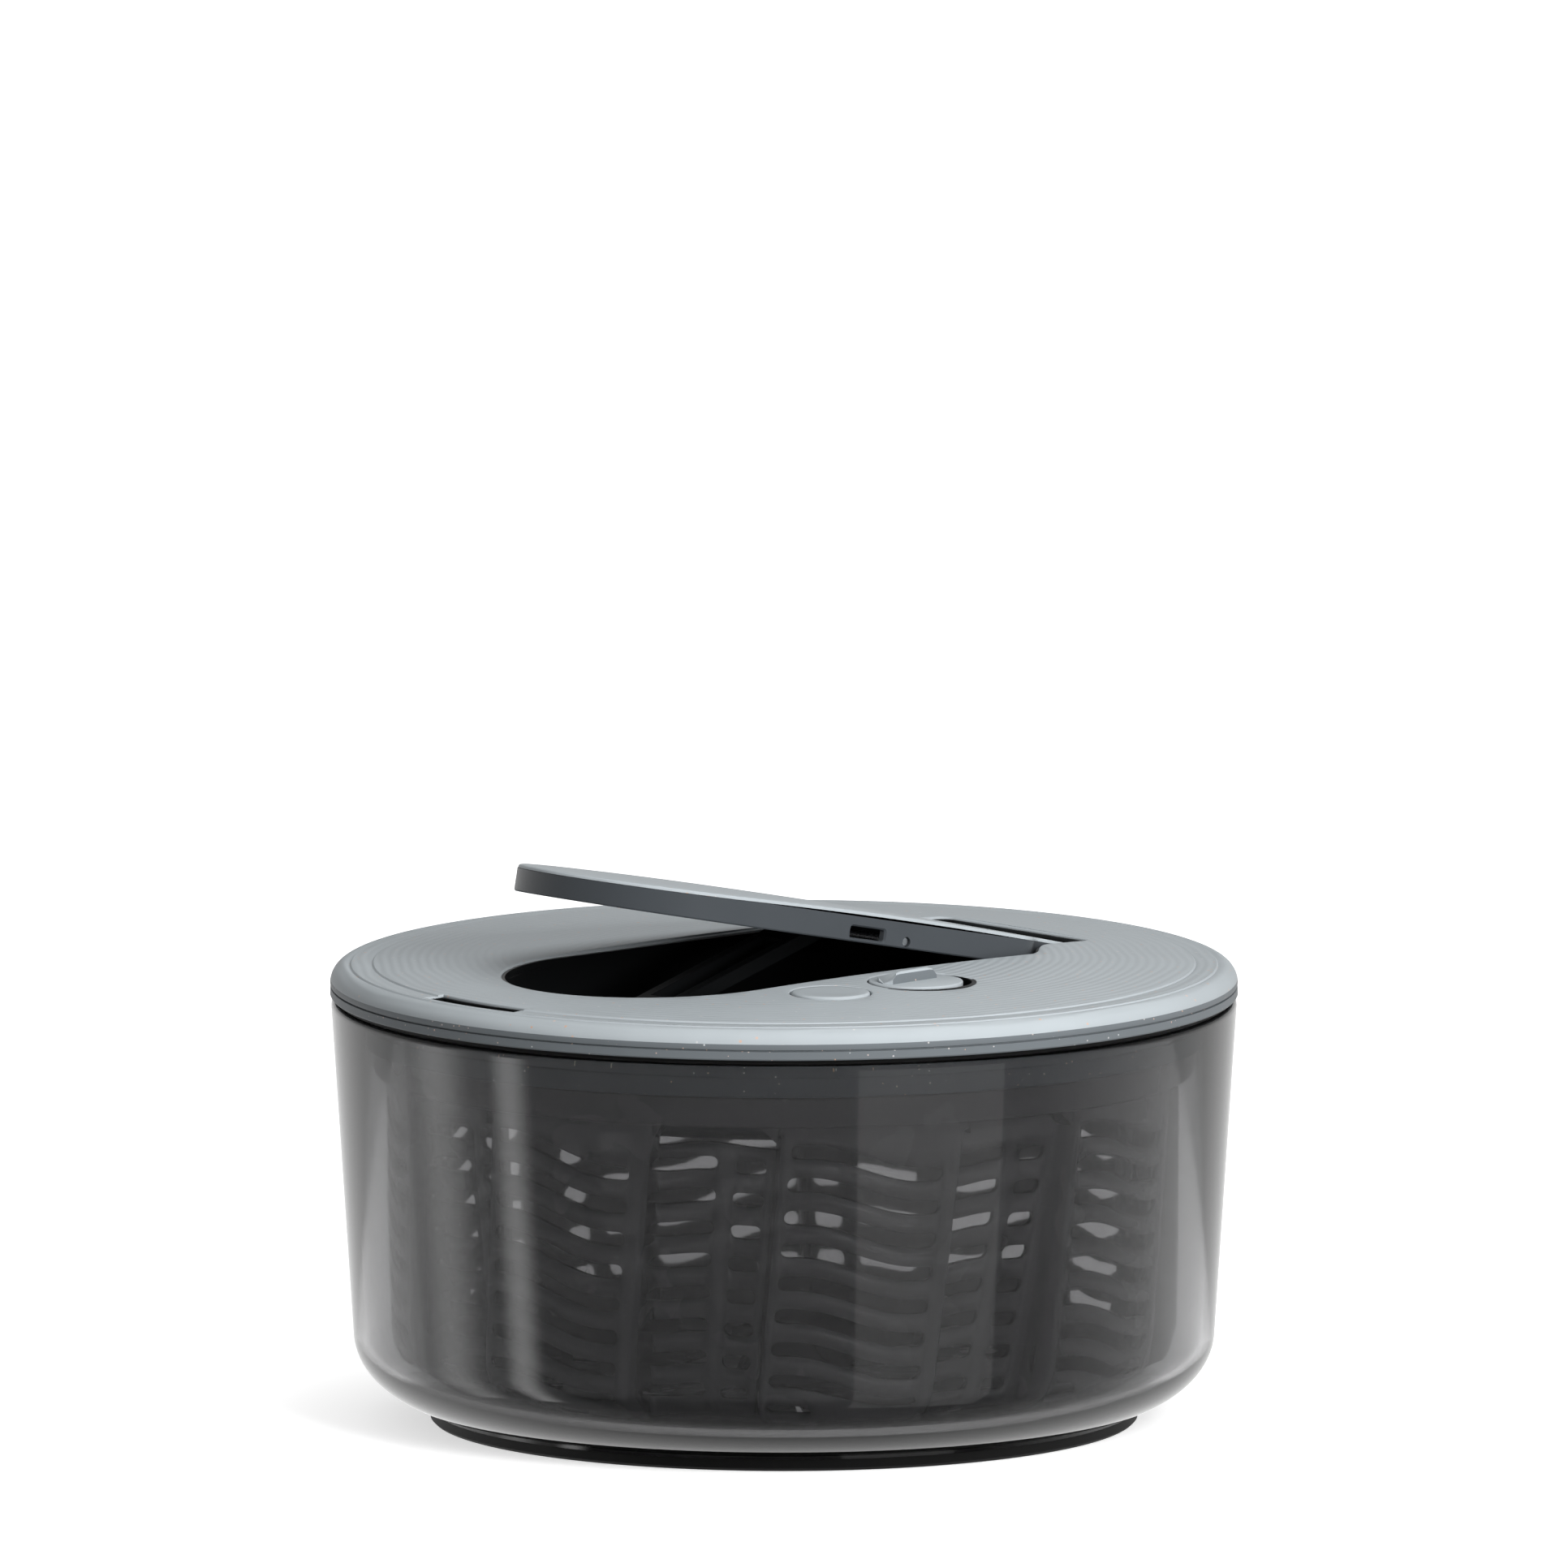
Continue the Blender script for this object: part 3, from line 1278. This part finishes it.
# ---- rotor ----
RING_RADIUS = low_high("rotor_ring")[1].x
RING_TOP = low_high("rotor_ring")[1].z
RING_BOTTOM = RING_TOP - 9.4
TABS = 9
TAB_RADIUS = 121.0
TAB_HEIGHT = 6.0


def ring_profile():
    """The drive ring: a flat flange with an upright rim that is stepped near its top."""
    inner = RING_RADIUS - 18
    ring = [(inner, RING_BOTTOM), (RING_RADIUS - 0.9, RING_BOTTOM), (RING_RADIUS - 0.2, RING_BOTTOM + 0.3)]
    ring += [(RING_RADIUS, RING_BOTTOM + 1.0), (RING_RADIUS, RING_TOP - 3.6)]
    for inset, drop in ((0.35, 3.3), (0.35, 0.5), (0.8, 0), (2.6, 0)):
        ring.append((RING_RADIUS - inset, RING_TOP - drop))
    return ring + [(RING_RADIUS - 2.6, RING_BOTTOM + 2.4), (inner, RING_BOTTOM + 2.4)]


def tab(mesh, turn):
    """A drive tab: a plate with one lower corner cut off, and a web behind it."""
    outline = [(-5, 1), (-5, -TAB_HEIGHT + 2.2), (-0.6, -TAB_HEIGHT), (5, -TAB_HEIGHT), (5, 1)]
    place = Matrix.Rotation(turn, 4, "Z")
    rings = []
    for radius in (TAB_RADIUS - 2, TAB_RADIUS):
        rings.append([place @ Vector((radius, x, RING_BOTTOM + z)) for x, z in outline])
    lofted(rings, mesh)
    low = (TAB_RADIUS - 7, 0.5, RING_BOTTOM - TAB_HEIGHT)
    box(mesh, low, (TAB_RADIUS - 1, 2.2, RING_BOTTOM + 1), place)


def drum_profile():
    """The drum's section: a flat base with a hub, a round corner, a leaning wall and a flange."""
    foot = low_high("rotor_pan")[0].z
    flange = RING_BOTTOM + 2.7
    rim = RING_RADIUS - 18.5
    centre = (rim - 12, foot + 7.5)
    drum = [(0, foot + 3), (8.5, foot + 3), (8.5, foot)]
    drum += arc(centre, (7.5, 7.5), -90, -12, 10)
    for reach, rise in ((-0.6, -1.6), (0, -0.4), (0.4, 0), (5, 0), (5, 2), (-2.4, 2)):
        drum.append((rim + reach, flange + rise))
    drum += arc(centre, (5.1, 5.1), -12, -90, 8)
    return drum + [(11, foot + 2.4), (11, foot + 5.2), (0, foot + 5.2)]


class SPINNER_OT_rotor(Operator):
    """Make the drive ring with its tabs, and the drum that hangs from it"""

    bl_idname = "spinner.rotor"
    bl_label = "Drive ring and drum"

    def execute(self, context):
        ring = turned(ring_profile(), steps=160, closed=True)
        for i in range(TABS):
            tab(ring, math.radians(FIRST_TAB + i * 360 / TABS))
        finished(
            ring, "drive_ring", "rotor", slate_abs(), ("rotor_ring",), crease=30, bevel=0.2
        )
        drum = turned(drum_profile(), steps=160)
        finished(drum, "drum", "rotor", charcoal_abs(), ("rotor_pan",), crease=30)
        return {"FINISHED"}


# ---- small parts ----
class SPINNER_OT_drive(Operator):
    """Finish the gears, clutch, pins, springs and screws"""

    bl_idname = "spinner.drive"
    bl_label = "Drive and fasteners"

    def execute(self, context):
        acetal, steel = natural_acetal(), drawn_steel()
        for node in ("drive_wheel", "clutch_hub", "pivot_bush"):
            eased(node, acetal, bevel=0.2)
        for node in frame["nodes"]:
            if slot_of(node) == "bright_steel":
                frame["nodes"][node].data.materials.clear()
                frame["nodes"][node].data.materials.append(steel)
        return {"FINISHED"}


# ---- stage ----
AMBIENT = 0.3  # how brightly the surround lights the surfaces
CEILING = 0.35  # how bright the surround is overhead, in reflections
WHITE = (1, 1, 1, 1)
KEY_TURN = math.radians(30)  # round from the camera
LIGHT_AIM = (0, 0, 0.16)
CARD_DISTANCE = 0.9
CARD_LOW, CARD_HIGH = -0.6, 0.03
# Name, degrees round from the camera, width, strength and how level the glow is up to the sides.
CARDS = (
    ("left card", -94, 0.44, 1.8, 1),
    ("second left card", -70, 0.24, 2.6, 1),
    ("right card", 36, 0.62, 0.6, 12),
)


def soft_light(name, place, size, power):
    """A square area light that faces the spinner and leaves no mirror image."""
    data = bpy.data.lights.new(name, "AREA")
    data.shape = "RECTANGLE"
    data.size = data.size_y = size
    data.energy = power
    light = bpy.data.objects.new(name, data)
    light.location = place
    light.rotation_mode = "QUATERNION"
    light.rotation_quaternion = (Vector(LIGHT_AIM) - Vector(place)).to_track_quat("-Z", "Y")
    light.visible_glossy = False
    bpy.context.collection.objects.link(light)


def card_glow(name, strength, edge):
    """A white glow that is full in the card's middle and fades to nothing at its two sides."""
    glow = bpy.data.materials.new(name)
    tree = bare_tree(glow)
    across = add_node(tree, "ShaderNodeSeparateXYZ", {0: add_node(tree, "ShaderNodeUVMap").outputs["UV"]})
    wave = maths(tree, "SINE", maths(tree, "MULTIPLY", across.outputs["X"], math.pi))
    share = maths(tree, "MULTIPLY", wave, edge, use_clamp=True)
    power = maths(tree, "MULTIPLY", share, strength)
    shine = add_node(tree, "ShaderNodeEmission", {"Color": WHITE, "Strength": power})
    clear = add_node(tree, "ShaderNodeBsdfTransparent")
    soft = add_node(tree, "ShaderNodeMixShader", {0: share, 1: clear.outputs[0], 2: shine.outputs[0]})
    add_node(tree, "ShaderNodeOutputMaterial", {"Surface": soft.outputs[0]})
    return glow


def card(name, azimuth, width, strength, edge):
    """A tall glowing card that only reflections see, for the long highlights down a curved wall."""
    mesh = bmesh.new()
    mesh.loops.layers.uv.new("across")
    bmesh.ops.create_grid(mesh, x_segments=1, y_segments=1, size=0.5, calc_uvs=True)
    middle = (0, -CARD_DISTANCE, (CARD_LOW + CARD_HIGH) / 2)
    upright = Matrix.Rotation(azimuth, 4, "Z") @ Matrix.Translation(middle)
    size = Matrix.Diagonal((width, CARD_HIGH - CARD_LOW, 1, 1))
    upright = upright @ Matrix.Rotation(math.pi / 2, 4, "X") @ size
    bmesh.ops.transform(mesh, matrix=upright, verts=mesh.verts)
    thing = placed(mesh, name)
    thing.data.materials.append(card_glow(name, strength, edge))
    for rays in ("camera", "diffuse", "transmission", "volume_scatter", "shadow"):
        setattr(thing, f"visible_{rays}", False)


def add_camera(settings, back):
    """A long lens, far off, so that upright edges stay upright."""
    data = bpy.data.cameras.new("camera")
    data.sensor_width = 36
    data.lens = data.sensor_width * settings.distance / settings.frame_width
    data.clip_end = 100
    camera = bpy.data.objects.new("camera", data)
    camera.location = Vector((0, 0, settings.target_height)) + back * settings.distance
    camera.rotation_mode = "QUATERNION"
    camera.rotation_quaternion = (-back).to_track_quat("-Z", "Y")
    bpy.context.collection.objects.link(camera)
    bpy.context.scene.camera = camera


def white_floor(back):
    """Matt white paint that glows, a little less near the spinner.

    Through the clear bowl it is dark round the foot and bright inside it.
    """
    paint = bpy.data.materials.new("white floor")
    tree = bare_tree(paint)
    matt = add_node(tree, "ShaderNodeBsdfDiffuse", {"Color": (0.86, 0.86, 0.86, 1)})
    place = add_node(tree, "ShaderNodeTexCoord").outputs["Object"]
    out = vector_maths(tree, "LENGTH", place)
    fade = ranged(tree, out, (0.6, 1.0), (0.1, 0.2))
    near_side = Vector((back.x, back.y, 0)) * 0.035  # the dark lies a little towards the camera
    off_centre = vector_maths(tree, "DISTANCE", place, near_side)
    shade = ranged(tree, off_centre, (0.02, 1.0), (0.118, 0.13))
    inside = ranged(tree, out, (1.0, 0.0), (0.084, 0.09))
    rays = add_node(tree, "ShaderNodeLightPath").outputs
    through = rays["Is Transmission Ray"]
    power = blended(tree, through, fade, maths(tree, "MAXIMUM", shade, inside))
    seen = maths(tree, "MAXIMUM", rays["Is Camera Ray"], through)
    seen = maths(tree, "MAXIMUM", seen, rays["Is Glossy Ray"])
    power = maths(tree, "MULTIPLY", seen, power)
    glow = add_node(tree, "ShaderNodeEmission", {"Color": WHITE, "Strength": power})
    both = add_node(tree, "ShaderNodeAddShader", {0: matt.outputs[0], 1: glow.outputs[0]})
    add_node(tree, "ShaderNodeOutputMaterial", {"Surface": both.outputs[0]})
    return paint


def add_floor(back):
    """A wide white disc just under the foot, which lights nothing and is in no reflection."""
    mesh = bmesh.new()
    bmesh.ops.create_circle(mesh, cap_ends=True, segments=96, radius=6)
    floor = placed(mesh, "floor")
    floor.location.z = -0.0002
    floor.data.materials.append(white_floor(back))
    floor.visible_glossy = False
    floor.visible_diffuse = False


def add_surround(back):
    """White all round; through clear walls and in reflections it is dark on the camera's side."""
    world = bpy.data.worlds.new("white surround")
    bpy.context.scene.world = world
    tree = bare_tree(world)
    way = add_node(tree, "ShaderNodeTexCoord").outputs["Generated"]
    away = ranged(tree, vector_maths(tree, "DOT_PRODUCT", way, back), (1.0, 0.05), (-0.5, 0.35))
    height = add_node(tree, "ShaderNodeSeparateXYZ", {0: way}).outputs["Z"]
    shine = maths(tree, "MULTIPLY", away, ranged(tree, height, (1.0, CEILING), (0.0, 0.3)))
    rays = add_node(tree, "ShaderNodeLightPath").outputs
    power = AMBIENT
    for ray, strength in (("Is Transmission Ray", away), ("Is Glossy Ray", shine), ("Is Camera Ray", 1.0)):
        power = blended(tree, rays[ray], power, strength)
    sky = add_node(tree, "ShaderNodeBackground", {"Color": WHITE, "Strength": power})
    add_node(tree, "ShaderNodeOutputWorld", {"Surface": sky.outputs[0]})


class SPINNER_OT_stage(Operator):
    """Set up the floor, the lights, the white surround and the camera"""

    bl_idname = "spinner.stage"
    bl_label = "Stage"

    def execute(self, context):
        settings = context.scene.spinner_stage
        context.scene.view_settings.view_transform = "Standard"
        turn, lift = settings.azimuth, settings.elevation
        back = Vector((math.sin(turn) * math.cos(lift), -math.cos(turn) * math.cos(lift), math.sin(lift)))
        side = Vector((math.cos(turn), math.sin(turn), 0))
        add_camera(settings, back)
        add_floor(back)
        add_surround(back)
        front = Matrix.Rotation(KEY_TURN, 3, "Z") @ back * 1.4
        soft_light("key", Vector((front.x, front.y, 0.58)), size=0.6, power=20)
        above = back * 0.3 + side * 0.2 + Vector((0, 0, 0.95))
        soft_light("top", above, size=0.5, power=3.6)
        for name, degrees, width, strength, edge in CARDS:
            card(name, turn + math.radians(degrees), width, strength, edge)
        return {"FINISHED"}


# ---- panel and registration ----
MAKERS = (
    SPINNER_OT_bowl, SPINNER_OT_basket, SPINNER_OT_lid, SPINNER_OT_controls,
    SPINNER_OT_lever, SPINNER_OT_rotor, SPINNER_OT_drive, SPINNER_OT_stage,
)
SETTINGS = {
    "spinner_bowl": BowlSizes, "spinner_basket": BasketSizes, "spinner_lid": LidSizes,
    "spinner_lever": LeverSizes, "spinner_finishes": Finishes, "spinner_stage": StageSettings,
}


class SPINNER_PT_panel(Panel):
    """Lists the spinner's pieces and their settings"""

    bl_idname = "SPINNER_PT_panel"
    bl_label = "Salad Spinner"
    bl_space_type = "VIEW_3D"
    bl_region_type = "UI"
    bl_category = "Spinner"

    def draw(self, context):
        for maker in MAKERS:
            self.layout.operator(maker.bl_idname)
        for name, group in SETTINGS.items():
            box_area = self.layout.box()
            box_area.label(text=group.__name__)
            settings = getattr(context.scene, name)
            for field in group.__annotations__:
                box_area.prop(settings, field)


def register():
    """Registers the settings, the operators and the panel."""
    for group in SETTINGS.values():
        bpy.utils.register_class(group)
    for name, group in SETTINGS.items():
        setattr(bpy.types.Scene, name, PointerProperty(type=group))
    for maker in (*MAKERS, SPINNER_PT_panel):
        bpy.utils.register_class(maker)


def unregister():
    """Takes away what register added."""
    for maker in reversed((*MAKERS, SPINNER_PT_panel)):
        bpy.utils.unregister_class(maker)
    for name in SETTINGS:
        delattr(bpy.types.Scene, name)
    for group in reversed(SETTINGS.values()):
        bpy.utils.unregister_class(group)


def main():
    """Builds every piece and the stage."""
    register()
    bpy.ops.spinner.bowl()
    bpy.ops.spinner.basket()
    bpy.ops.spinner.lid()
    bpy.ops.spinner.controls()
    bpy.ops.spinner.lever()
    bpy.ops.spinner.rotor()
    bpy.ops.spinner.drive()
    bpy.ops.spinner.stage()


if __name__ == "__main__":
    main()
